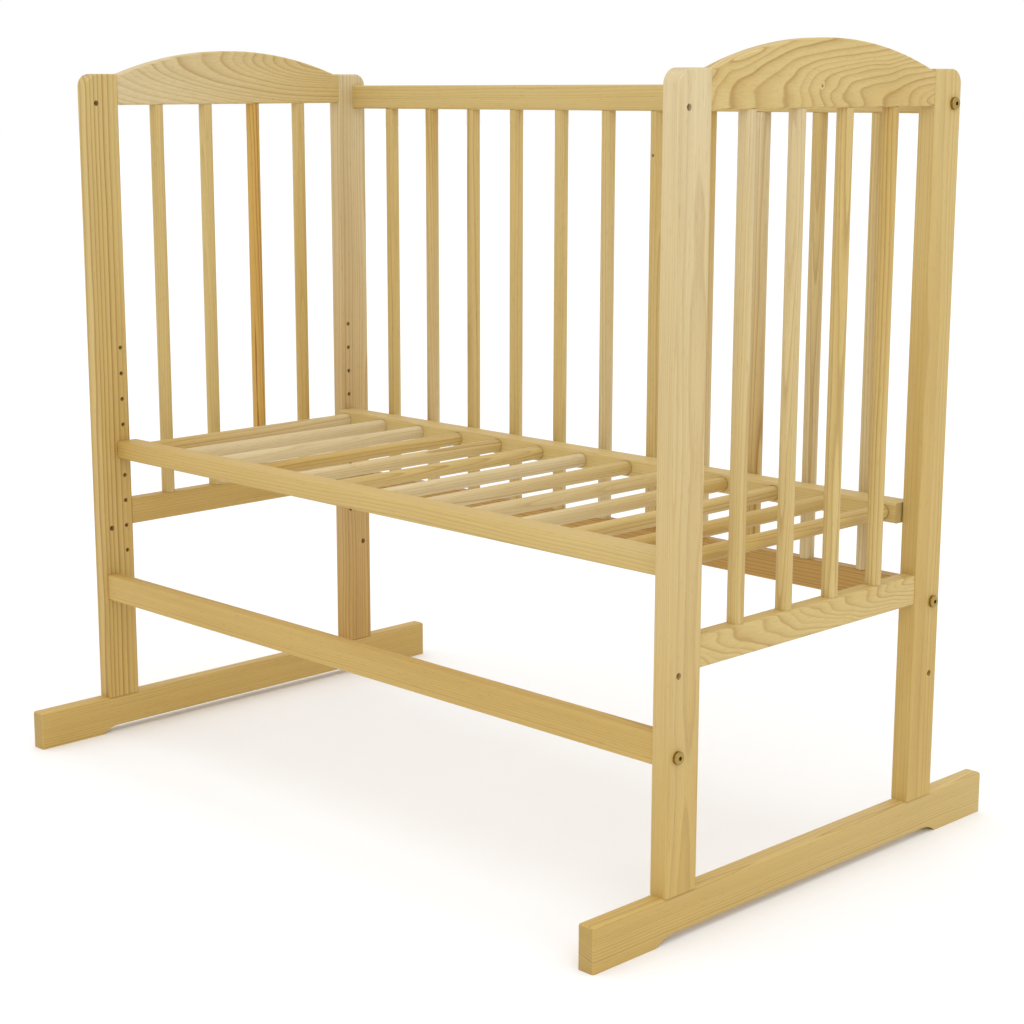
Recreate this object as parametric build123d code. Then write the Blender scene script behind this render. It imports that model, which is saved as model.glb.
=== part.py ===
from build123d import *
import os

# A bedside crib in planed pine. Two end frames stand on flat runners, a spindle back is bolted
# between the rear posts, and one stretcher ties the front posts low down. The front above it is
# open, towards the bed that the crib stands against. A base of round slats hangs on four pins in
# the rows of holes of the posts, and lifts off them.
# Millimetres. X runs along the crib, Y from the open front to the back, Z up, and the origin is on
# the floor under the middle.

# The crib as a whole
mattress_length = 900
mattress_play = 6
crib_depth = 440
crib_height = 820

# Posts
post_thickness = 21
post_width = 45
post_corner_radius = 15
post_arris = 2.5

# Runners
runner_overhang = 100
runner_thickness = 20
runner_height = 46
runner_arris = 3
runner_end_arris = 1.5
pad_from_post = 12
pad_curve_length = 25
cutout_height = 8.5

# Rails of the two end frames
end_rail_thickness = 18
end_rail_arris = 2.5
lower_rail_bottom = 265
lower_rail_height = 32
arch_bottom_drop = 37
arch_end_drop = 1
arch_end_sweep = 25
arch_rise = 28.5

# Rails of the back, and the front stretcher
panel_rail_thickness = 18
panel_rail_arris = 2.5
top_rail_height = 30
bottom_rail_height = 32
stretcher_height = 32
panel_setback = 13
top_bolt_drop = 34.5
bottom_bolt_height = 264
stretcher_bolt_height = 184.5
bolt_below_centre = 5

# Spindles
spindle_diameter = 16.5
tenon_diameter = 12
tenon_length = 14
tenon_chamfer = 1
tenon_play = 0.1
tenon_end_gap = 1
end_spindle_count = 4
end_spindle_inset = 62.5
back_spindle_count = 11

# Rows of holes for the base, and its pins
row_setback = 35
row_top_height = 489
row_pitch = 32
row_count = 9
row_hole_depth = 12
pin_diameter = 5
pin_play = 0.1
pin_reach = 9
pin_chamfer = 0.6
hole_count_above_pins = 4

# Slatted base
base_rail_width = 30
base_rail_height = 22
base_rail_arris = 3
base_end_clearance = 1
base_back_clearance = 3
slot_play = 0.4
slot_end_gap = 2
pin_above_rail_bottom = 10
slat_diameter = 16
slat_bore_play = 0.5
slat_bore_depth = 17
slat_count = 13
slat_end_inset = 17

# Furniture bolts and their barrel nuts
bolt_diameter = 6
bolt_length = 60
bolt_play = 0.3
bolt_end_gap = 2
bolt_chamfer = 0.8
head_diameter = 13
head_height = 4
head_round = 1.4
socket_width = 4
socket_depth = 2.8
nut_diameter = 10
nut_length = 14
nut_play = 0.2
nut_thread_play = 0.05
nut_inset = 30
nut_recess = 0.5
nut_slot_width = 1.2
nut_slot_depth = 1.6

# Wooden dowels
dowel_diameter = 8
dowel_chamfer = 0.8
dowel_play = 0.05
dowel_end_gap = 1
panel_dowel_rise = 12
panel_dowel_in_post = 12
panel_dowel_in_rail = 18
rail_dowel_in_post = 20
rail_dowel_in_rail = 20
rail_dowel_edge = 8
arch_dowel_low = 12
arch_dowel_high = 28
foot_dowel_spread = 13
foot_dowel_in_post = 18
foot_dowel_in_runner = 18

# Screws up through the runners
screw_diameter = 5
screw_length = 70
screw_play = 0.05
screw_head_diameter = 10
screw_head_height = 2.6
screw_tip_length = 5
screw_tip_diameter = 1.5
screw_tip_gap = 2
recess_width = 1.1
recess_span = 5
recess_depth = 1.8

# Planes and lines that pieces share
post_inner_x = (mattress_length + mattress_play) / 2
post_outer_x = post_inner_x + post_thickness
end_frame_x = (post_inner_x + post_outer_x) / 2
post_outer_y = crib_depth / 2
post_inner_y = post_outer_y - post_width
post_centre_y = (post_inner_y + post_outer_y) / 2
panel_y = post_outer_y - panel_setback
panel_front_y = panel_y - panel_rail_thickness / 2
panel_back_y = panel_y + panel_rail_thickness / 2
row_y = post_outer_y - row_setback
row_heights = [row_top_height - row_pitch * step for step in range(row_count)]
pin_height = row_top_height - row_pitch * hole_count_above_pins
lower_rail_top = lower_rail_bottom + lower_rail_height
arch_bottom = crib_height - arch_bottom_drop
arch_end_height = crib_height - arch_end_drop
arch_crown_height = crib_height + arch_rise
top_bolt_height = crib_height - top_bolt_drop
runner_end_y = post_outer_y + runner_overhang
pad_inner_y = post_outer_y + pad_from_post
base_bottom = pin_height - pin_above_rail_bottom
base_top = base_bottom + base_rail_height
base_outer_y = panel_front_y - base_back_clearance
base_inner_y = base_outer_y - base_rail_width
base_end_x = post_inner_x - base_end_clearance
slat_height = (base_bottom + base_top) / 2

left, right = -1, 1
front, rear = -1, 1
corners = [(side, depth) for side in (left, right) for depth in (front, rear)]
side_names = {left: "left", right: "right"}
depth_names = {front: "front", rear: "rear"}
along_x, along_y, along_z = Vector(1, 0, 0), Vector(0, 1, 0), Vector(0, 0, 1)


def block(x_span, y_span, z_span):
    """A box between two planes on each axis."""
    spans = (x_span, y_span, z_span)
    sizes = [end - start for start, end in spans]
    middles = [(start + end) / 2 for start, end in spans]
    return Pos(*middles) * Box(*sizes)


def rod(diameter, start, direction, length):
    """A round bar from a point, along a direction."""
    base = Plane(origin=start, z_dir=direction)
    return base * Cylinder(diameter / 2, length, align=(Align.CENTER, Align.CENTER, Align.MIN))


def peg(diameter, start, direction, length, chamfer_size):
    """A round bar with both of its rims chamfered."""
    bar = rod(diameter, start, direction, length)
    return chamfer(bar.edges().filter_by(GeomType.CIRCLE), chamfer_size)


def placed(shape, side, depth=rear):
    """A shape made at the right rear, turned over to another corner of the crib."""
    if side == left:
        shape = mirror(shape, about=Plane.YZ)
    if depth == front:
        shape = mirror(shape, about=Plane.XZ)
    return shape


def rounded_along(solid, axis, radius):
    """The same solid with its edges along one axis rounded."""
    return fillet(solid.edges().filter_by(axis), radius)


def spread(reach, count):
    """Evenly spaced places from one side of the middle to the other."""
    pitch = 2 * reach / (count - 1)
    return [pitch * step - reach for step in range(count)]


def slab(outline, x_start, thickness):
    """A board cut to an outline that is drawn in Y and Z, from one X plane to another."""
    face = make_face(Plane.YZ.offset(x_start) * outline)
    return extrude(face, thickness, dir=along_x)


def outline_edges(solid, x_start, thickness):
    """The edges round both broad faces of a board made by slab."""
    near = solid.edges().filter_by_position(Axis.X, x_start, x_start)
    far = solid.edges().filter_by_position(Axis.X, x_start + thickness, x_start + thickness)
    return near + far


def bolt_holes(heights):
    """Holes right through a post for the furniture bolts."""
    diameter = bolt_diameter + 2 * bolt_play
    return [rod(diameter, (post_inner_x, panel_y, height), along_x, post_thickness) for height in heights]


def row_holes():
    """The row of blind holes that the base pins fit in."""
    diameter = pin_diameter + 2 * pin_play
    return [rod(diameter, (post_inner_x, row_y, height), along_x, row_hole_depth) for height in row_heights]


def panel_dowel_height(bolt_height):
    return bolt_height + panel_dowel_rise


def panel_dowel_holes(bolt_heights):
    """Blind holes in a post's inner face for the dowels of the back or the stretcher."""
    diameter = dowel_diameter + 2 * dowel_play
    holes = []
    for bolt_height in bolt_heights:
        start = (post_inner_x, panel_y, panel_dowel_height(bolt_height))
        holes.append(rod(diameter, start, along_x, panel_dowel_in_post))
    return holes


def end_rail_dowel_heights():
    """Heights of the dowels that join an end frame's rails to its posts."""
    lower = (lower_rail_bottom + rail_dowel_edge, lower_rail_top - rail_dowel_edge)
    arch = (arch_bottom + arch_dowel_low, arch_bottom + arch_dowel_high)
    return lower + arch


def post(panel_bolt_heights):
    """The right rear post, with dowel holes beside the bolts that hold a rail on it."""
    outer, inner = post_outer_y, post_inner_y
    low, high = runner_height, crib_height
    corner = post_corner_radius
    foot = Polyline((outer, high - corner), (outer, low), (inner, low), (inner, high), (outer - corner, high))
    shoulder = RadiusArc((outer - corner, high), (outer, high - corner), corner)
    body = slab(foot + shoulder, post_inner_x, post_thickness)
    arrises = [edge for edge in outline_edges(body, post_inner_x, post_thickness)
               if edge.center().Z > low]
    body = fillet(arrises, post_arris)
    body -= bolt_holes((top_bolt_height, bottom_bolt_height, stretcher_bolt_height))
    body -= row_holes()
    body -= panel_dowel_holes(panel_bolt_heights)
    rail_hole = dowel_diameter + 2 * dowel_play
    for height in end_rail_dowel_heights():
        body -= rod(rail_hole, (end_frame_x, inner, height), along_y, rail_dowel_in_post)
    for y in foot_dowel_places():
        body -= rod(rail_hole, (end_frame_x, y, low), along_z, foot_dowel_in_post)
    screw_hole = screw_diameter + 2 * screw_play
    screw_depth = cutout_height + screw_length - low + screw_tip_gap
    body -= rod(screw_hole, (end_frame_x, post_centre_y, low), along_z, screw_depth)
    return body


def foot_dowel_places():
    """Places along Y of the two dowels in the foot of a rear post."""
    return (post_centre_y - foot_dowel_spread, post_centre_y + foot_dowel_spread)


def runner():
    """The right runner: a bar that stands on a pad at each end, with a hollow curve up from each pad."""
    end, pad = runner_end_y, pad_inner_y
    flat = pad - pad_curve_length
    top, rise = runner_height, cutout_height
    ends = Polyline((-pad, 0), (-end, 0), (-end, top), (end, top), (end, 0), (pad, 0))
    right_curve = TangentArc((flat, rise), (pad, 0), tangent=(1, 0))
    roof = Line((flat, rise), (-flat, rise))
    left_curve = TangentArc((-flat, rise), (-pad, 0), tangent=(-1, 0))
    x_start = end_frame_x - runner_thickness / 2
    bar = slab(ends + right_curve + roof + left_curve, x_start, runner_thickness)
    sides = outline_edges(bar, x_start, runner_thickness)
    upper = [edge for edge in sides if edge.center().Z > runner_height - runner_arris]
    bar = fillet(upper, runner_arris)
    end_edges = [edge for edge in bar.edges().filter_by(Axis.Z) if abs(edge.center().Y) > pad]
    bar = chamfer(end_edges, runner_end_arris)
    dowel_hole = dowel_diameter + 2 * dowel_play
    dowel_depth = foot_dowel_in_runner + dowel_end_gap
    for depth in (front, rear):
        for y in foot_dowel_places():
            bar -= rod(dowel_hole, (end_frame_x, depth * y, top), -along_z, dowel_depth)
        bar -= placed(screw_hole_in_runner(), right, depth)
    return bar


def screw_hole_in_runner():
    """A countersunk hole up through the thin middle of a runner."""
    start = (end_frame_x, post_centre_y, cutout_height)
    shank = rod(screw_diameter + 2 * screw_play, start, along_z, runner_height - cutout_height)
    return shank + screw_head()


def screw_head():
    """The countersunk head of a runner screw, wide at the bottom."""
    place = Plane(origin=(end_frame_x, post_centre_y, cutout_height), z_dir=along_z)
    lowest = (Align.CENTER, Align.CENTER, Align.MIN)
    return place * Cone(screw_head_diameter / 2, screw_diameter / 2, screw_head_height, align=lowest)


def runner_screw():
    start = Vector(end_frame_x, post_centre_y, cutout_height)
    straight = screw_length - screw_tip_length
    shank = rod(screw_diameter, start, along_z, straight)
    lowest = (Align.CENTER, Align.CENTER, Align.MIN)
    tip_place = Plane(origin=start + along_z * straight, z_dir=along_z)
    tip = tip_place * Cone(screw_diameter / 2, screw_tip_diameter / 2, screw_tip_length, align=lowest)
    screw = shank + screw_head() + tip
    for long_side, short_side in ((recess_span, recess_width), (recess_width, recess_span)):
        screw -= Pos(*start) * Box(long_side, short_side, 2 * recess_depth)
    return screw


def end_rail_dowel_cuts():
    """Holes in both ends of the rails of the right end frame."""
    diameter = dowel_diameter + 2 * dowel_play
    depth = rail_dowel_in_rail + dowel_end_gap
    cuts = []
    for height in end_rail_dowel_heights():
        cuts.append(rod(diameter, (end_frame_x, post_inner_y, height), -along_y, depth))
        cuts.append(rod(diameter, (end_frame_x, -post_inner_y, height), along_y, depth))
    return cuts


def end_spindle_places():
    return spread(post_inner_y - end_spindle_inset, end_spindle_count)


def tenon_cuts(places, height, direction):
    """Blind holes for spindle tenons, in a row of places that are given in X and Y."""
    diameter = tenon_diameter + 2 * tenon_play
    depth = tenon_length + tenon_end_gap
    return [rod(diameter, (x, y, height), direction, depth) for x, y in places]


def arch_rail():
    """The top rail of the right end frame: straight below, and a long arc above that eases out at both ends."""
    inner, end_height = post_inner_y, arch_end_height
    rise = arch_crown_height - end_height
    radii = (inner ** 2 + rise ** 2) / (2 * rise)
    radius = radii - arch_end_sweep
    join_y = inner * radius / radii
    join_height = arch_crown_height - radius + (radii - rise) * radius / radii
    straight = Polyline((inner, end_height), (inner, arch_bottom), (-inner, arch_bottom), (-inner, end_height))
    left_ease = TangentArc((-inner, end_height), (-join_y, join_height), tangent=(1, 0))
    arc = ThreePointArc((-join_y, join_height), (0, arch_crown_height), (join_y, join_height))
    right_ease = TangentArc((inner, end_height), (join_y, join_height), tangent=(-1, 0))
    x_start = end_frame_x - end_rail_thickness / 2
    board = slab(straight + left_ease + arc + right_ease, x_start, end_rail_thickness)
    arrises = [edge for edge in outline_edges(board, x_start, end_rail_thickness)
               if abs(edge.center().Y) < inner - end_rail_arris]
    board = fillet(arrises, end_rail_arris)
    places = [(end_frame_x, y) for y in end_spindle_places()]
    board -= tenon_cuts(places, arch_bottom, along_z)
    return board - end_rail_dowel_cuts()


def lower_end_rail():
    half = end_rail_thickness / 2
    x_span = (end_frame_x - half, end_frame_x + half)
    bar = block(x_span, (-post_inner_y, post_inner_y), (lower_rail_bottom, lower_rail_top))
    bar = rounded_along(bar, Axis.Y, end_rail_arris)
    places = [(end_frame_x, y) for y in end_spindle_places()]
    bar -= tenon_cuts(places, lower_rail_top, -along_z)
    return bar - end_rail_dowel_cuts()


def spindle(x, y, low, high):
    """A turned bar between two rails, with a tenon at each end."""
    start = (x, y, low - tenon_length)
    tenons = peg(tenon_diameter, start, along_z, high - low + 2 * tenon_length, tenon_chamfer)
    return tenons + rod(spindle_diameter, (x, y, low), along_z, high - low)


def panel_rail_span(bolt_height, height):
    """Bottom and top of a rail whose end bolts sit a little below its middle."""
    middle = bolt_height + bolt_below_centre
    return (middle - height / 2, middle + height / 2)


def back_spindle_places():
    """Places along X that leave equal gaps between the spindles and at both posts."""
    pitch = (2 * post_inner_x + spindle_diameter) / (back_spindle_count + 1)
    return spread(pitch * (back_spindle_count - 1) / 2, back_spindle_count)


def panel_rail(bolt_height, height):
    """A rail of the back, bored at both ends for its bolts, dowels and barrel nuts."""
    z_span = panel_rail_span(bolt_height, height)
    bar = block((-post_inner_x, post_inner_x), (panel_front_y, panel_back_y), z_span)
    bar = rounded_along(bar, Axis.X, panel_rail_arris)
    bolt_depth = bolt_length - post_thickness + bolt_end_gap
    bolt_bore = rod(bolt_diameter + 2 * bolt_play, (post_inner_x, panel_y, bolt_height), -along_x, bolt_depth)
    dowel_start = (post_inner_x, panel_y, panel_dowel_height(bolt_height))
    dowel_depth = panel_dowel_in_rail + dowel_end_gap
    dowel_bore = rod(dowel_diameter + 2 * dowel_play, dowel_start, -along_x, dowel_depth)
    nut_start = (post_inner_x - nut_inset, panel_back_y, bolt_height)
    nut_bore = rod(nut_diameter + 2 * nut_play, nut_start, -along_y, nut_length + nut_recess)
    for side in (left, right):
        for bore in (bolt_bore, dowel_bore, nut_bore):
            bar -= placed(bore, side)
    return bar


def back_rail(bolt_height, height, spindle_side):
    """A rail of the back with spindle tenon holes in its upper or lower edge."""
    low, high = panel_rail_span(bolt_height, height)
    places = [(x, panel_y) for x in back_spindle_places()]
    bar = panel_rail(bolt_height, height)
    if spindle_side == "above":
        return bar - tenon_cuts(places, high, -along_z)
    return bar - tenon_cuts(places, low, along_z)


def bolt(height):
    """A furniture bolt through the right rear post, with its head on the post's outer face."""
    shank_start = (post_outer_x, panel_y, height)
    shank = rod(bolt_diameter, shank_start, -along_x, bolt_length)
    shank = chamfer(shank.edges().filter_by(GeomType.CIRCLE).sort_by(Axis.X)[0], bolt_chamfer)
    head = rod(head_diameter, shank_start, along_x, head_height)
    head = fillet(head.edges().filter_by(GeomType.CIRCLE).sort_by(Axis.X)[-1], head_round)
    face = Plane(origin=(post_outer_x + head_height, panel_y, height), z_dir=-along_x)
    socket = extrude(face * RegularPolygon(socket_width / 2, 6, major_radius=False), socket_depth)
    return shank + head - socket


def barrel_nut(height):
    """A cross nut in the back of a rail, on its bolt."""
    x = post_inner_x - nut_inset
    outer_y = panel_back_y - nut_recess
    nut = rod(nut_diameter, (x, outer_y, height), -along_y, nut_length)
    thread_start = (x - nut_diameter, panel_y, height)
    nut -= rod(bolt_diameter + 2 * nut_thread_play, thread_start, along_x, 2 * nut_diameter)
    return nut - Pos(x, outer_y, height) * Box(nut_diameter, 2 * nut_slot_depth, nut_slot_width)


def base_rail():
    """The rear rail of the base, bored for the slats and slotted from below over the pins."""
    rail = block((-base_end_x, base_end_x), (base_inner_y, base_outer_y), (base_bottom, base_top))
    rail = rounded_along(rail, Axis.X, base_rail_arris)
    for x in slat_places():
        start = (x, base_inner_y, slat_height)
        rail -= rod(slat_diameter + 2 * slat_bore_play, start, along_y, slat_bore_depth)
    slot_width = pin_diameter + 2 * slot_play
    slot_end = post_inner_x - pin_reach - slot_end_gap
    y_span = (row_y - slot_width / 2, row_y + slot_width / 2)
    seat = rod(slot_width, (slot_end, row_y, pin_height), along_x, base_end_x - slot_end)
    slot = block((slot_end, base_end_x), y_span, (base_bottom, pin_height)) + seat
    return rail - placed(slot, right) - placed(slot, left)


def slat_places():
    return spread(base_end_x - slat_end_inset, slat_count)


def slat(x):
    """A round slat that reaches the bottoms of its bores in both base rails."""
    end_y = base_inner_y + slat_bore_depth
    return rod(slat_diameter, (x, -end_y, slat_height), along_y, 2 * end_y)


def support_pin():
    """A steel pin pushed home in its hole, reaching under the base."""
    start = (post_inner_x - pin_reach, row_y, pin_height)
    return peg(pin_diameter, start, along_x, pin_reach + row_hole_depth, pin_chamfer)


def panel_dowel(bolt_height):
    start = (post_inner_x - panel_dowel_in_rail, panel_y, panel_dowel_height(bolt_height))
    return peg(dowel_diameter, start, along_x, panel_dowel_in_rail + panel_dowel_in_post, dowel_chamfer)


def end_rail_dowels():
    """The dowels between the right rear post and the rails of its end frame."""
    length = rail_dowel_in_rail + rail_dowel_in_post
    starts = [(end_frame_x, post_inner_y - rail_dowel_in_rail, height) for height in end_rail_dowel_heights()]
    return [peg(dowel_diameter, start, along_y, length, dowel_chamfer) for start in starts]


def foot_dowels():
    """The dowels between the right rear post and its runner."""
    length = foot_dowel_in_runner + foot_dowel_in_post
    starts = [(end_frame_x, y, runner_height - foot_dowel_in_runner) for y in foot_dowel_places()]
    return [peg(dowel_diameter, start, along_z, length, dowel_chamfer) for start in starts]


def at_corners(shapes, chosen):
    """Copies of shapes made at the right rear, at each of the chosen corners."""
    return [placed(shape, side, depth) for side, depth in chosen for shape in shapes]


pieces = {}
panel_bolts = (top_bolt_height, bottom_bolt_height)
rear_corners = [corner for corner in corners if corner[1] == rear]
front_corners = [corner for corner in corners if corner[1] == front]

rear_post = post(panel_bolts)
front_post = post((stretcher_bolt_height,))
for side, depth in corners:
    blank = rear_post if depth == rear else front_post
    pieces[f"post_{depth_names[depth]}_{side_names[side]}"] = placed(blank, side, depth)

for side in (left, right):
    name = side_names[side]
    pieces[f"runner_{name}"] = placed(runner(), side)
    pieces[f"end_arch_rail_{name}"] = placed(arch_rail(), side)
    pieces[f"end_lower_rail_{name}"] = placed(lower_end_rail(), side)
    for number, y in enumerate(end_spindle_places(), start=1):
        turned = spindle(end_frame_x, y, lower_rail_top, arch_bottom)
        pieces[f"end_spindle_{name}_{number}"] = placed(turned, side)

top_rail_low = panel_rail_span(top_bolt_height, top_rail_height)[0]
bottom_rail_high = panel_rail_span(bottom_bolt_height, bottom_rail_height)[1]
pieces["back_top_rail"] = back_rail(top_bolt_height, top_rail_height, "below")
pieces["back_bottom_rail"] = back_rail(bottom_bolt_height, bottom_rail_height, "above")
for number, x in enumerate(back_spindle_places(), start=1):
    pieces[f"back_spindle_{number:02d}"] = spindle(x, panel_y, bottom_rail_high, top_rail_low)

to_front = Pos(0, -2 * panel_y, 0)
pieces["front_stretcher"] = to_front * panel_rail(stretcher_bolt_height, stretcher_height)

pieces["base_rail_rear"] = base_rail()
pieces["base_rail_front"] = placed(base_rail(), right, front)
for number, x in enumerate(slat_places(), start=1):
    pieces[f"base_slat_{number:02d}"] = slat(x)

pieces["back_panel_bolts"] = at_corners([bolt(height) for height in panel_bolts], rear_corners)
pieces["back_panel_barrel_nuts"] = at_corners([barrel_nut(height) for height in panel_bolts], rear_corners)
pieces["back_panel_dowels"] = at_corners([panel_dowel(height) for height in panel_bolts], rear_corners)
pieces["stretcher_bolts"] = at_corners([bolt(stretcher_bolt_height)], front_corners)
pieces["stretcher_barrel_nuts"] = at_corners([to_front * barrel_nut(stretcher_bolt_height)], rear_corners)
pieces["stretcher_dowels"] = at_corners([panel_dowel(stretcher_bolt_height)], front_corners)
pieces["end_rail_dowels"] = at_corners(end_rail_dowels(), corners)
pieces["foot_dowels"] = at_corners(foot_dowels(), corners)
pieces["runner_screws"] = at_corners([runner_screw()], corners)
pieces["base_support_pins"] = at_corners([support_pin()], corners)

os.makedirs("parts", exist_ok=True)
for name, shape in pieces.items():
    solids = shape if isinstance(shape, list) else [shape]
    node = Compound(children=[solid.solid() for solid in solids])
    node.label = name
    export_step(node, f"parts/{name}.step")
    print(name, len(solids), "solids")
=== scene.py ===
import bpy
import bmesh
import math
import random
from mathutils import Matrix, Vector


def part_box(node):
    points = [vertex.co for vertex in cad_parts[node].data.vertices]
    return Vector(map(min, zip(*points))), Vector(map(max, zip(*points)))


print("loading the crib")
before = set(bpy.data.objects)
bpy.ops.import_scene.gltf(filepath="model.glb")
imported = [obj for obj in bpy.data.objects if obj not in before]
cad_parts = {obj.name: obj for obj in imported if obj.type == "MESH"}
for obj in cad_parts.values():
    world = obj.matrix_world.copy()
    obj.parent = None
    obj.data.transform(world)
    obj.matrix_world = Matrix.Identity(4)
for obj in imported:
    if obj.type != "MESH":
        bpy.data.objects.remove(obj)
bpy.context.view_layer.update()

cameraSettings = {
    "place": (1.68864, -1.642145, 0.804767),  # metres
    "yaw": 46.445,  # degrees
    "pitch": -11.594,
    "roll": -0.179,
    "sensor": 36,  # mm wide
    "lens": 73.05,  # mm
    "shiftX": 0.0502,  # matches the photograph more closely than a centred view does
    "farClip": 100,  # metres, past the far edge of the floor
}


def makeCamera(settings):
    data = bpy.data.cameras.new("camera")
    data.sensor_width = settings["sensor"]
    data.lens = settings["lens"]
    data.shift_x = settings["shiftX"]
    data.clip_end = settings["farClip"]
    camera = bpy.data.objects.new("camera", data)
    yaw, pitch, roll = (math.radians(settings[k]) for k in ("yaw", "pitch", "roll"))
    turn = Matrix.Rotation(yaw, 4, "Z") @ Matrix.Rotation(math.pi / 2 + pitch, 4, "X")
    camera.matrix_world = Matrix.Translation(settings["place"]) @ turn @ Matrix.Rotation(roll, 4, "Z")
    bpy.context.scene.collection.objects.link(camera)
    bpy.context.scene.camera = camera


makeCamera(cameraSettings)
print("camera in place")


def hexColor(text):
    # sRGB hex to the linear values that the shaders work in
    parts = [int(text[i:i + 2], 16) / 255 for i in (1, 3, 5)]
    return [c / 12.92 if c <= 0.04045 else ((c + 0.055) / 1.055) ** 2.4 for c in parts] + [1]


def addNode(tree, kind, settings=None, links=None):
    # settings name an input of the node (by name or number) or a property of it
    node = tree.nodes.new(kind)
    for name, value in (settings or {}).items():
        if isinstance(name, int) or name in node.inputs:
            node.inputs[name].default_value = value
        else:
            setattr(node, name, value)
    for name, source in (links or {}).items():
        socket = source if isinstance(source, bpy.types.NodeSocket) else source.outputs[0]
        tree.links.new(socket, node.inputs[name])
    return node


def newMaterial(name):
    material = bpy.data.materials.new(name)
    material.use_nodes = True
    material.node_tree.nodes.clear()
    return material, material.node_tree


studio = {
    "worldColor": "#FFFFFF",
    "worldStrength": 1.0,
    "floorSize": 60,  # metres
    "floorColor": "#F7F7F7",
    "floorMottle": 0.35,  # metres between the paper's slightly duller patches
    "overheadStrength": 0.6,  # W/m2, straight down
    "overheadAngle": 60,  # degrees across, as wide as a big soft box
    "keyPlace": (1.6, -1.4, 1.9),  # metres, above the camera
    "keyAim": (0.35, -0.1, 0.6),
    "keySize": 1.2,  # metres
    "keyWatts": 8,
    "keyColor": "#E4EEFF",  # a little cool, so the faces towards it look paler
}


def makeStudio(settings):
    scene = bpy.context.scene
    scene.view_settings.view_transform = "Standard"
    world = bpy.data.worlds.new("studio")
    scene.world = world
    world.use_nodes = True
    background = world.node_tree.nodes["Background"]
    background.inputs["Color"].default_value = hexColor(settings["worldColor"])
    background.inputs["Strength"].default_value = settings["worldStrength"]

    overhead = bpy.data.lights.new("overhead", "SUN")
    overhead.energy = settings["overheadStrength"]
    overhead.angle = math.radians(settings["overheadAngle"])
    scene.collection.objects.link(bpy.data.objects.new("overhead", overhead))

    key = bpy.data.lights.new("key", "AREA")
    key.size = settings["keySize"]
    key.energy = settings["keyWatts"]
    key.color = hexColor(settings["keyColor"])[:3]
    keyLight = bpy.data.objects.new("key", key)
    keyLight.location = settings["keyPlace"]
    aim = Vector(settings["keyAim"]) - keyLight.location
    keyLight.rotation_euler = aim.to_track_quat("-Z", "Y").to_euler()
    scene.collection.objects.link(keyLight)

    sheet = bmesh.new()
    bmesh.ops.create_grid(sheet, x_segments=1, y_segments=1, size=settings["floorSize"] / 2)
    mesh = bpy.data.meshes.new("floor")
    sheet.to_mesh(mesh)
    sheet.free()
    floor = bpy.data.objects.new("floor", mesh)
    scene.collection.objects.link(floor)
    # Matt backdrop paper off the roll: almost white, with no gloss, so it only shows soft shadow.
    material, tree = newMaterial("matt white paper")
    place = addNode(tree, "ShaderNodeTexCoord")
    mottle = addNode(tree, "ShaderNodeTexNoise", {"Scale": 1 / settings["floorMottle"]},
                     {"Vector": place.outputs["Object"]})
    rough = addNode(tree, "ShaderNodeMapRange", {"To Min": 0.85, "To Max": 0.95}, {"Value": mottle})
    shader = addNode(tree, "ShaderNodeBsdfPrincipled",
                     {"Base Color": hexColor(settings["floorColor"]), "Specular IOR Level": 0.2},
                     {"Roughness": rough})
    addNode(tree, "ShaderNodeOutputMaterial", {}, {"Surface": shader})
    mesh.materials.append(material)


makeStudio(studio)
print("studio in place")

# Planed Scots pine, unvarnished and lightly sanded. Pale wide earlywood fades into a narrow
# orange latewood line that ends abruptly, so a flat-sawn face shows nested arches and a
# quarter-sawn face shows fine stripes. The finish is dull, with a faint sheen along the fibres.
pineTones = {
    "cream": {"early": "#D1BE92", "late": "#AC8C56", "warm": "#C6AD78"},
    "straw": {"early": "#CAB070", "late": "#9F7A36", "warm": "#C0A158"},
    "honey": {"early": "#C4A45A", "late": "#946A28", "warm": "#B28C3E"},
    "amber": {"early": "#BD964B", "late": "#87571F", "warm": "#A97F35"},
    "orange": {"early": "#CBA34D", "late": "#864C12", "warm": "#B07A28"},
}

# Sizes of the wood's figure in mm: how wide a mark is, and how long it runs with the grain.
pineFigure = {
    "fibre": (2.0, 140),  # the real ones, a few hundredths wide, are too fine to show
    "resinStreak": (1.25, 14),
    "warmPatch": (38, 320),
    "ringStretch": 0.35,  # a ring strays along the board this much slower than across it
    "seedStep": 731,  # mm between one bar's place in the figure and the next one's
    "unevenYears": 7,  # rings over which their width swells and shrinks
    "yearSwing": 3.0,  # rings that such a run of years moves a ring
    "weakestRing": 0.35,  # of the strongest ring's darkness
    # how dark the wood is by then, as the year's growth goes from 0 to 1
    "ringProfile": ((0.35, 0.08), (0.68, 0.42), (0.86, 1.0), (0.93, 0.85)),
    "knotColor": "#7A4A22",
    "knotPush": 2.2,  # knot radii that the rings at the knot give way
    "knotReach": 4.5,  # knot radii from the knot to rings that run straight again
}

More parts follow.
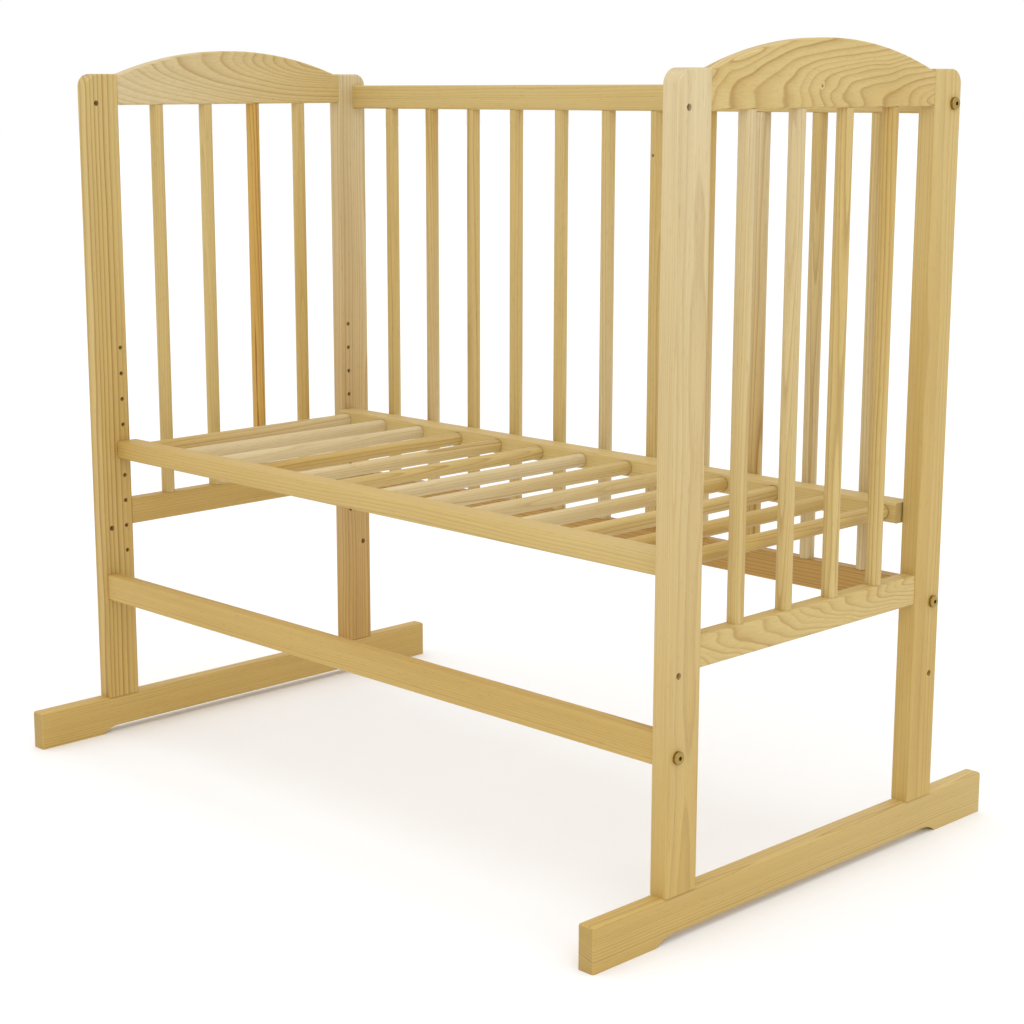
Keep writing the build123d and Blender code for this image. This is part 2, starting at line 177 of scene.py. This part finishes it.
pineBoard = {
    "along": "Z",
    "pith": (30, 20, 0),  # mm from the middle of the piece to the heart of the tree
    "tilt": (0, 0),  # degrees that the heart leans from the piece's length
    "ringWidth": 2.6,  # mm
    "contrast": 0.5,
    "wander": 5,  # mm that a ring strays along the board
    "wanderLength": 110,
    "tones": ("straw", "straw"),  # at the low end of the piece and at its high end
    "warmth": 0.3,
    "knots": [],  # (point on the piece in mm, radius in mm, direction of the branch)
    "seed": 0,
}
quarterTurns = {
    "X": Matrix.Rotation(-math.pi / 2, 3, "Y"),
    "Y": Matrix.Rotation(math.pi / 2, 3, "X"),
    "Z": Matrix.Identity(3),
}
boardAxes = {"X": Vector((1, 0, 0)), "Y": Vector((0, 1, 0)), "Z": Vector((0, 0, 1))}


def makePine(name, low, high, changes):
    board = {**pineBoard, **changes}
    middle = (low + high) / 2
    material, tree = newMaterial("planed pine " + name)
    place = addNode(tree, "ShaderNodeTexCoord")

    # millimetres from the heart of the tree, with the heart along Z
    leanX, leanY = (math.radians(angle) for angle in board["tilt"])
    turn = Matrix.Rotation(leanX, 3, "X") @ Matrix.Rotation(leanY, 3, "Y") @ quarterTurns[board["along"]]
    heart = turn @ (middle * 1000 + Vector(board["pith"]))
    inLog = addNode(tree, "ShaderNodeMapping",
                    {"Rotation": turn.to_euler(), "Location": -heart, "Scale": (1000, 1000, 1000)},
                    {"Vector": place.outputs["Object"]})
    shift = board["seed"] * pineFigure["seedStep"]
    seeded = addNode(tree, "ShaderNodeVectorMath", {"operation": "ADD", 1: (0, 0, shift)}, {0: inLog})

    # rings stray slowly along the board
    stretched = addNode(tree, "ShaderNodeVectorMath",
                        {"operation": "MULTIPLY", 1: (1, 1, pineFigure["ringStretch"])}, {0: seeded})
    stray = addNode(tree, "ShaderNodeTexNoise", {"Scale": 1 / board["wanderLength"], "Detail": 2.0},
                    {"Vector": stretched})
    reach = 2 * board["wander"]
    strayed = addNode(tree, "ShaderNodeVectorMath", {"operation": "MULTIPLY_ADD", 1: (reach, reach, 0)},
                      {0: stray.outputs["Color"], 2: inLog})
    across = addNode(tree, "ShaderNodeVectorMath", {"operation": "MULTIPLY", 1: (1, 1, 0)}, {0: strayed})
    radius = addNode(tree, "ShaderNodeVectorMath", {"operation": "LENGTH"}, {0: across}).outputs["Value"]

    # each knot pushes the rings aside, and shows its own dark core
    core = None
    for point, knotRadius, branch in board["knots"]:
        middleOfKnot = [c / 1000 for c in point]
        fromKnot = addNode(tree, "ShaderNodeVectorMath", {"operation": "SUBTRACT", 1: middleOfKnot},
                           {0: place.outputs["Object"]})
        flat = [0 if c == branch else 1000 / knotRadius for c in "XYZ"]
        side = addNode(tree, "ShaderNodeVectorMath", {"operation": "MULTIPLY", 1: flat}, {0: fromKnot})
        span = addNode(tree, "ShaderNodeVectorMath", {"operation": "LENGTH"}, {0: side}).outputs["Value"]
        push = addNode(tree, "ShaderNodeMapRange",
                       {"interpolation_type": "SMOOTHERSTEP",
                        "From Min": 0.6, "From Max": pineFigure["knotReach"],
                        "To Min": pineFigure["knotPush"] * knotRadius, "To Max": 0}, {"Value": span})
        radius = addNode(tree, "ShaderNodeMath", {"operation": "ADD"}, {0: radius, 1: push}).outputs[0]
        dark = addNode(tree, "ShaderNodeMapRange",
                       {"interpolation_type": "SMOOTHSTEP", "From Min": 0.7, "From Max": 1.3,
                        "To Min": 1, "To Max": 0}, {"Value": span})
        if core is not None:
            dark = addNode(tree, "ShaderNodeMath", {"operation": "MAXIMUM"}, {0: core, 1: dark})
        core = dark

    # good and bad summers: rings of unequal width and strength
    swell = pineFigure["unevenYears"] * board["ringWidth"]
    years = addNode(tree, "ShaderNodeTexNoise",
                    {"noise_dimensions": "1D", "Scale": 1 / swell, "Detail": 0}, {"W": radius})
    plain = addNode(tree, "ShaderNodeMath", {"operation": "DIVIDE", 1: board["ringWidth"]}, {0: radius})
    phase = addNode(tree, "ShaderNodeMath", {"operation": "MULTIPLY_ADD", 1: pineFigure["yearSwing"]},
                    {0: years, 2: plain})
    within = addNode(tree, "ShaderNodeMath", {"operation": "FRACT"}, {0: phase})
    number = addNode(tree, "ShaderNodeMath", {"operation": "FLOOR"}, {0: phase})
    strength = addNode(tree, "ShaderNodeTexWhiteNoise", {"noise_dimensions": "1D"}, {"W": number})
    strong = addNode(tree, "ShaderNodeMapRange", {"To Min": pineFigure["weakestRing"], "To Max": 1.0},
                     {"Value": strength})
    profile = addNode(tree, "ShaderNodeValToRGB", {}, {"Fac": within})
    ramp = profile.color_ramp.elements
    ramp[0].position, ramp[0].color = 0.0, (0, 0, 0, 1)
    ramp[1].position, ramp[1].color = 1.0, (0, 0, 0, 1)
    for position, value in pineFigure["ringProfile"]:
        stop = ramp.new(position)
        stop.color = (value, value, value, 1)
    lateness = addNode(tree, "ShaderNodeMath", {"operation": "MULTIPLY"}, {0: profile, 1: strong})
    lateShare = addNode(tree, "ShaderNodeMath", {"operation": "MULTIPLY", 1: board["contrast"]}, {0: lateness})

    # fibres and short resin streaks
    width, length = pineFigure["fibre"]
    threads = addNode(tree, "ShaderNodeVectorMath", {"operation": "MULTIPLY", 1: (1, 1, width / length)},
                      {0: seeded})
    fibre = addNode(tree, "ShaderNodeTexNoise", {"Scale": 1 / width, "Detail": 3, "Roughness": 0.6},
                    {"Vector": threads})
    width, length = pineFigure["resinStreak"]
    dashes = addNode(tree, "ShaderNodeVectorMath", {"operation": "MULTIPLY", 1: (1, 1, width / length)},
                     {0: seeded})
    resin = addNode(tree, "ShaderNodeTexNoise", {"Scale": 1 / width, "Detail": 1}, {"Vector": dashes})
    resinDark = addNode(tree, "ShaderNodeMapRange",
                        {"From Min": 0.62, "From Max": 0.72, "To Min": 1.0, "To Max": 0.88}, {"Value": resin})

    # broad warmer stripes where the heartwood begins
    width, length = pineFigure["warmPatch"]
    broad = addNode(tree, "ShaderNodeVectorMath", {"operation": "MULTIPLY", 1: (1, 1, width / length)},
                    {0: seeded})
    cloud = addNode(tree, "ShaderNodeTexNoise", {"Scale": 1 / width, "Detail": 2}, {"Vector": broad})
    warmShare = addNode(tree, "ShaderNodeMapRange",
                        {"From Min": 0.4, "From Max": 0.65, "To Min": 0, "To Max": board["warmth"]},
                        {"Value": cloud})

    # the tone goes from the board's low end to its high end; where the low end is darker, as on the posts,
    # this is painted shade
    along = addNode(tree, "ShaderNodeVectorMath", {"operation": "DOT_PRODUCT", 1: boardAxes[board["along"]]},
                    {0: place.outputs["Object"]}).outputs["Value"]
    ends = [boardAxes[board["along"]].dot(corner) for corner in (low, high)]
    toneAndShadeAlong = addNode(tree, "ShaderNodeMapRange", {"From Min": ends[0], "From Max": ends[1]}, {"Value": along})
    hues = {}
    for part in ("early", "late", "warm"):
        first, last = (hexColor(pineTones[tone][part]) for tone in board["tones"])
        hue = addNode(tree, "ShaderNodeMix", {"data_type": "RGBA", 6: first, 7: last}, {0: toneAndShadeAlong})
        hues[part] = hue.outputs[2]
    base = addNode(tree, "ShaderNodeMix", {"data_type": "RGBA"},
                   {0: warmShare, 6: hues["early"], 7: hues["warm"]})
    ringed = addNode(tree, "ShaderNodeMix", {"data_type": "RGBA"},
                     {0: lateShare, 6: base.outputs[2], 7: hues["late"]})
    color = ringed.outputs[2]
    if core is not None:
        color = addNode(tree, "ShaderNodeMix", {"data_type": "RGBA", 7: hexColor(pineFigure["knotColor"])},
                        {0: core, 6: color}).outputs[2]

    # fibres lighten and darken it a little, and end grain drinks the light
    streak = addNode(tree, "ShaderNodeMapRange",
                     {"From Min": 0.3, "From Max": 0.7, "To Min": 0.94, "To Max": 1.05}, {"Value": fibre})
    toEnd = addNode(tree, "ShaderNodeVectorMath", {"operation": "DOT_PRODUCT", 1: boardAxes[board["along"]]},
                    {0: place.outputs["Normal"]})
    facing = addNode(tree, "ShaderNodeMath", {"operation": "ABSOLUTE"}, {0: toEnd.outputs["Value"]})
    endGrain = addNode(tree, "ShaderNodeMapRange",
                       {"From Min": 0.7, "From Max": 0.95, "To Min": 1.0, "To Max": 0.84}, {"Value": facing})
    shade = addNode(tree, "ShaderNodeMath", {"operation": "MULTIPLY"}, {0: streak, 1: resinDark})
    shade = addNode(tree, "ShaderNodeMath", {"operation": "MULTIPLY"}, {0: shade, 1: endGrain})
    shaded = addNode(tree, "ShaderNodeVectorMath", {"operation": "SCALE"}, {0: color, "Scale": shade})

    roughness = addNode(tree, "ShaderNodeMapRange",
                        {"From Min": 0.3, "From Max": 0.7, "To Min": 0.5, "To Max": 0.62}, {"Value": fibre})
    height = addNode(tree, "ShaderNodeMath", {"operation": "MULTIPLY_ADD", 1: 0.5}, {0: lateness, 2: fibre})
    bump = addNode(tree, "ShaderNodeBump", {"Strength": 0.25, "Distance": 0.0001}, {"Height": height})
    shader = addNode(tree, "ShaderNodeBsdfPrincipled", {"IOR": 1.5},
                     {"Base Color": shaded, "Roughness": roughness, "Normal": bump})
    addNode(tree, "ShaderNodeOutputMaterial", {}, {"Surface": shader})
    return material


def dress(node, material):
    # the piece keeps its shape and gets one finish all over
    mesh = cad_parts[node].data
    mesh.materials.clear()
    mesh.materials.append(material)


def dressPine(node, changes):
    dress(node, makePine(node, *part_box(node), changes))


# each post runs from a darker, more amber foot to a paler top: painted shade, darker towards the floor where
# less light falls
postBoards = {
    "post_front_left": {"pith": (22, 34, 0), "tones": ("honey", "straw"), "contrast": 1.0, "ringWidth": 6.0,
                        "warmth": 0.45, "wander": 4},
    "post_front_right": {"pith": (-60, 10, 0), "tones": ("honey", "cream"), "contrast": 0.4, "ringWidth": 2.6,
                         "warmth": 0.2},
    "post_rear_left": {"pith": (40, 30, 0), "tones": ("amber", "cream"), "contrast": 0.7, "ringWidth": 3.4,
                       "warmth": 0.5},
    "post_rear_right": {"pith": (-50, -20, 0), "tones": ("honey", "straw"), "contrast": 0.5, "ringWidth": 3.0,
                        "warmth": 0.6},
}
railBoards = {
    "end_arch_rail_left": {"along": "Y", "pith": (2, 130, 18), "tilt": (0, -10), "tones": ("cream", "straw"),
                           "contrast": 0.7, "ringWidth": 3.4, "wander": 6},
    "end_arch_rail_right": {"along": "Y", "pith": (9, 135, -38), "tilt": (0, -11), "contrast": 0.8,
                            "ringWidth": 4.5, "wander": 13, "wanderLength": 60, "warmth": 0.6,
                            "knots": [((472, -12, 803.5), 1.2, "X")]},
    "end_lower_rail_left": {"along": "Y", "pith": (20, 0, 50), "tones": ("honey", "honey"), "contrast": 0.6},
    "end_lower_rail_right": {"along": "Y", "pith": (6, 100, 0), "tilt": (0, -9), "contrast": 0.65,
                             "ringWidth": 3.4, "wander": 13, "wanderLength": 55},
    "runner_left": {"along": "Y", "pith": (30, 0, 70), "tones": ("honey", "honey"), "contrast": 0.6,
                    "ringWidth": 2.6},
    "runner_right": {"along": "Y", "pith": (30, 0, 80), "tones": ("honey", "straw"), "contrast": 0.6,
                     "ringWidth": 2.6},
    "back_top_rail": {"along": "X", "pith": (0, 30, 50), "contrast": 0.55},
    "back_bottom_rail": {"along": "X", "pith": (0, 20, 60), "tones": ("amber", "amber"), "contrast": 0.9,
                         "ringWidth": 3.2},
    "front_stretcher": {"along": "X", "pith": (0, 20, 70), "tones": ("honey", "honey"), "contrast": 0.5,
                        "ringWidth": 2.4},
    "base_rail_front": {"along": "X", "pith": (0, 50, 60), "tones": ("honey", "straw"), "contrast": 0.5},
    "base_rail_rear": {"along": "X", "pith": (0, 40, -50), "contrast": 0.5},
}

for node, changes in {**postBoards, **railBoards}.items():
    dressPine(node, changes)
print("posts and rails dressed")

turnedBars = {
    "seed": 11,
    "spindleTones": ["cream", "straw", "straw", "honey"],
    "slatTones": ["cream", "cream", "straw", "honey"],
    "heartAway": (12, 70),  # mm
    "tilt": (-1, 1),  # degrees
    "ringWidth": (1.8, 3.6),
    "contrast": (0.4, 0.9),
    "warmth": (0.1, 0.6),
    "special": {
        "end_spindle_left_3": {"tones": ("orange", "orange"), "contrast": 1.0, "ringWidth": 3.4},
        "end_spindle_right_1": {"tones": ("straw", "cream")},
        "end_spindle_right_2": {"tones": ("straw", "cream")},
        "back_spindle_04": {"tones": ("straw", "straw")},
        "back_spindle_07": {"knots": [((77, 199, 725), 1.8, "Y")]},
        "base_slat_05": {"knots": [((-145, -78, 370), 2.0, "Z")]},
        "base_slat_11": {"tones": ("straw", "straw")},
        "base_slat_12": {"tones": ("honey", "straw")},
        "base_slat_13": {"tones": ("honey", "straw")},
    },
}


def dressBars(settings):
    draw = random.Random(settings["seed"])
    names = sorted(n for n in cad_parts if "spindle" in n or "slat" in n)
    for count, name in enumerate(names):
        angle, away = draw.uniform(0, 2 * math.pi), draw.uniform(*settings["heartAway"])
        sideways = (away * math.cos(angle), away * math.sin(angle))
        slatLike = "slat" in name
        choices = settings["slatTones" if slatLike else "spindleTones"]
        changes = {
            "along": "Y" if slatLike else "Z",
            "pith": (sideways[0], 0, sideways[1]) if slatLike else (*sideways, 0),
            "tilt": (draw.uniform(*settings["tilt"]), draw.uniform(*settings["tilt"])),
            "tones": (draw.choice(choices), draw.choice(choices)),
            "ringWidth": draw.uniform(*settings["ringWidth"]),
            "contrast": draw.uniform(*settings["contrast"]),
            "warmth": draw.uniform(*settings["warmth"]),
            "seed": count,
        }
        dressPine(name, {**changes, **settings["special"].get(name, {})})


dressBars(turnedBars)
print("spindles and slats dressed")

metals = {
    # Brass-plated steel, tumbled: a deep gold with darker and brighter spots across a head, partly plating
    # cloud and partly painted reflection.
    "brass-plated steel": {"color": "#A68C50", "roughness": (0.15, 0.3),
                           "nodes": ["back_panel_bolts", "stretcher_bolts"]},
    # Zinc-plated steel, barrel-plated: pale grey and slightly cloudy.
    "zinc-plated steel": {"color": "#B9BCC0", "roughness": (0.3, 0.48),
                          "nodes": ["back_panel_barrel_nuts", "stretcher_barrel_nuts", "runner_screws"]},
    # Bright drawn steel pin: cleaner and smoother than plating.
    "bright drawn steel": {"color": "#C6C7C8", "roughness": (0.18, 0.3), "nodes": ["base_support_pins"]},
}


def makeMetal(name, settings):
    material, tree = newMaterial(name)
    place = addNode(tree, "ShaderNodeTexCoord")
    mottle = 0.0011  # metres between the plating's cloudy spots
    cloud = addNode(tree, "ShaderNodeTexNoise", {"Scale": 1 / mottle, "Detail": 3},
                    {"Vector": place.outputs["Object"]})
    low, high = settings["roughness"]
    rough = addNode(tree, "ShaderNodeMapRange", {"To Min": low, "To Max": high}, {"Value": cloud})
    bump = addNode(tree, "ShaderNodeBump", {"Strength": 0.1, "Distance": 0.00005}, {"Height": cloud})
    # the plating's cloudy spots darken and lighten the colour; on the brass heads this is also painted
    # reflection contrast
    cloudAndReflection = addNode(tree, "ShaderNodeMapRange", {"To Min": 0.9, "To Max": 1.05}, {"Value": cloud})
    color = addNode(tree, "ShaderNodeVectorMath", {"operation": "SCALE", 0: hexColor(settings["color"])[:3]},
                    {"Scale": cloudAndReflection})
    shader = addNode(tree, "ShaderNodeBsdfPrincipled", {"Metallic": 1.0},
                     {"Base Color": color, "Roughness": rough, "Normal": bump})
    addNode(tree, "ShaderNodeOutputMaterial", {}, {"Surface": shader})
    for node in settings["nodes"]:
        dress(node, material)


for name, settings in metals.items():
    makeMetal(name, settings)

# Beech dowels, dense and pinkish, with short dark flecks.
beech = {"color": "#CFA57C", "fleck": "#A87A50", "fleckLength": 0.0017,  # metres
         "nodes": ["back_panel_dowels", "stretcher_dowels", "end_rail_dowels", "foot_dowels"]}


def makeBeech(settings):
    material, tree = newMaterial("turned beech")
    place = addNode(tree, "ShaderNodeTexCoord")
    fleck = addNode(tree, "ShaderNodeTexNoise", {"Scale": 1 / settings["fleckLength"], "Detail": 1},
                    {"Vector": place.outputs["Object"]})
    share = addNode(tree, "ShaderNodeMapRange", {"From Min": 0.55, "From Max": 0.7}, {"Value": fleck})
    plain, dark = hexColor(settings["color"]), hexColor(settings["fleck"])
    color = addNode(tree, "ShaderNodeMix", {"data_type": "RGBA", 6: plain, 7: dark}, {0: share})
    shader = addNode(tree, "ShaderNodeBsdfPrincipled", {"Roughness": 0.55, "IOR": 1.5},
                     {"Base Color": color.outputs[2]})
    addNode(tree, "ShaderNodeOutputMaterial", {}, {"Surface": shader})
    for node in settings["nodes"]:
        dress(node, material)


makeBeech(beech)
print("metal and dowels dressed")
